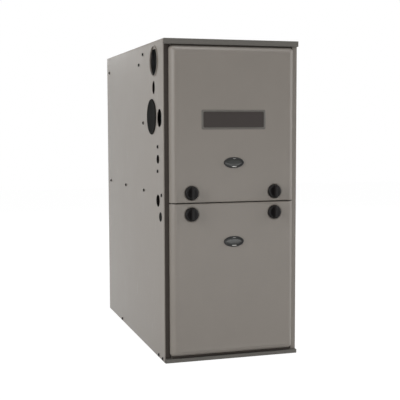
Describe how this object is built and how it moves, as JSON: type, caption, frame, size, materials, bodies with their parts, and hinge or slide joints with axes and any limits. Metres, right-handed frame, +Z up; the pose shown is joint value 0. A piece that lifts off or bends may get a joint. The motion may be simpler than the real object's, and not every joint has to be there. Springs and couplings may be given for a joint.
{
  "type": "forced air gas furnace",
  "caption": "Upflow forced air gas furnace in a narrow steel cabinet with two lift-off doors, quarter-turn knobs, burners, heat exchanger, inducer and blower.",
  "frame": {"origin": "on the floor, under the middle of the casing's width and of the whole depth from the knobs to the back", "axes": "+Z up, -Y out of the front doors, +X to the right seen from the front"},
  "size_m": [0.3711, 0.7664, 0.8432],
  "materials": {
    "taupe_paint": "satin powder coat",
    "dark_taupe": "satin powder coat",
    "galvanised": "spangled zinc",
    "aluminised": "matt",
    "stainless": "brushed",
    "black_plastic": "satin",
    "grey_plastic": "matt",
    "white_plastic": "satin",
    "cast_aluminium": "as cast",
    "foil": "crinkled foil",
    "rubber": "matt",
    "board_green": "satin",
    "ceramic": "matt",
    "red": "satin",
    "glass": "glossy"
  },
  "bodies": {
    "cabinet": {"casing_left": "taupe_paint", "casing_right": "taupe_paint", "casing_back": "taupe_paint", "top_panel": "taupe_paint", "top_rail": "dark_taupe", "base_rail": "dark_taupe", "gas_manifold": "dark_taupe", "transformer": "dark_taupe", "base_panel": "galvanised", "centre_rail": "galvanised", "blower_deck": "galvanised", "vestibule_panel": "galvanised", "blower_housing": "galvanised", "motor_mount": "galvanised", "control_panel": "galvanised", "junction_box": "galvanised", "pipe_hole_plug": "grey_plastic", "pressure_switch": "grey_plastic", "condensate_trap": "grey_plastic", "rollout_switch": "black_plastic", "limit_switch": "black_plastic", "collector_box": "black_plastic", "inducer_housing": "black_plastic", "inducer_motor": "black_plastic", "intake_pipe": "black_plastic", "blower_motor": "black_plastic", "door_switch": "black_plastic", "burner_box": "aluminised", "burner_1": "aluminised", "burner_2": "aluminised", "burner_3": "aluminised", "primary_tube_1": "aluminised", "primary_tube_2": "aluminised", "primary_tube_3": "aluminised", "gas_valve": "cast_aluminium", "pressure_hose": "red", "igniter": "ceramic", "flame_sensor": "ceramic", "coupling_box": "stainless", "secondary_coil": "stainless", "vent_pipe": "white_plastic", "drain_hose": "rubber", "control_board": "board_green"},
    "upper_door_body": {"upper_door": "taupe_paint", "upper_door_liner": "foil", "upper_sight_glass": "glass", "name_plate": "black_plastic"},
    "lower_door_body": {"lower_door": "taupe_paint", "lower_door_liner": "foil", "lower_sight_glass": "glass"},
    "upper_left_knob_body": {"upper_left_knob": "black_plastic"},
    "upper_right_knob_body": {"upper_right_knob": "black_plastic"},
    "lower_left_knob_body": {"lower_left_knob": "black_plastic"},
    "lower_right_knob_body": {"lower_right_knob": "black_plastic"},
    "blower_rotor": {"blower_wheel": "galvanised", "blower_shaft": "stainless"},
    "inducer_rotor": {"inducer_wheel": "aluminised"},
    "valve_knob_body": {"gas_valve_knob": "red"},
    "reset_button_body": {"rollout_reset_button": "red"},
    "plunger_body": {"door_switch_plunger": "white_plastic"}
  },
  "joints": [
    {"name": "upper_door_tilt", "type": "hinge", "parent": "cabinet", "child": "upper_door_body", "pos_m": [0, -0.35697, 0.8237], "axis": [-1, 0, 0], "range_deg": [0, 50]},
    {"name": "lower_door_tilt", "type": "hinge", "parent": "cabinet", "child": "lower_door_body", "pos_m": [0, -0.35697, 0.0103], "axis": [1, 0, 0], "range_deg": [0, 60]},
    {"name": "upper_left_knob_turn", "type": "hinge", "parent": "upper_door_body", "child": "upper_left_knob_body", "pos_m": [-0.1143, -0.36607, 0.4437], "axis": [0, 1, 0], "range_deg": [0, 90]},
    {"name": "upper_right_knob_turn", "type": "hinge", "parent": "upper_door_body", "child": "upper_right_knob_body", "pos_m": [0.1143, -0.36607, 0.4437], "axis": [0, 1, 0], "range_deg": [0, 90]},
    {"name": "lower_left_knob_turn", "type": "hinge", "parent": "lower_door_body", "child": "lower_left_knob_body", "pos_m": [-0.1143, -0.36607, 0.3885], "axis": [0, 1, 0], "range_deg": [0, 90]},
    {"name": "lower_right_knob_turn", "type": "hinge", "parent": "lower_door_body", "child": "lower_right_knob_body", "pos_m": [0.1143, -0.36607, 0.3885], "axis": [0, 1, 0], "range_deg": [0, 90]},
    {"name": "blower_spin", "type": "hinge", "parent": "cabinet", "child": "blower_rotor", "pos_m": [0, 0.05292, 0.212], "axis": [1, 0, 0], "continuous": true},
    {"name": "inducer_spin", "type": "hinge", "parent": "cabinet", "child": "inducer_rotor", "pos_m": [0.03, -0.22707, 0.508], "axis": [0, 1, 0], "continuous": true},
    {"name": "gas_valve_turn", "type": "hinge", "parent": "cabinet", "child": "valve_knob_body", "pos_m": [-0.132, -0.31707, 0.622], "axis": [0, 1, 0], "range_deg": [0, 90]},
    {"name": "reset_button_press", "type": "slide", "parent": "cabinet", "child": "reset_button_body", "axis": [0, 0, -1], "range_m": [0, 0.0015], "stiffness_N_per_m": 600, "springref_m": -0.0008},
    {"name": "plunger_travel", "type": "slide", "parent": "cabinet", "child": "plunger_body", "axis": [0, -1, 0], "range_m": [0, 0.006]}
  ],
  "couplings": [
    {"joint": "plunger_travel", "follows": "lower_door_tilt", "m_per_rad": 0.0057}
  ]
}
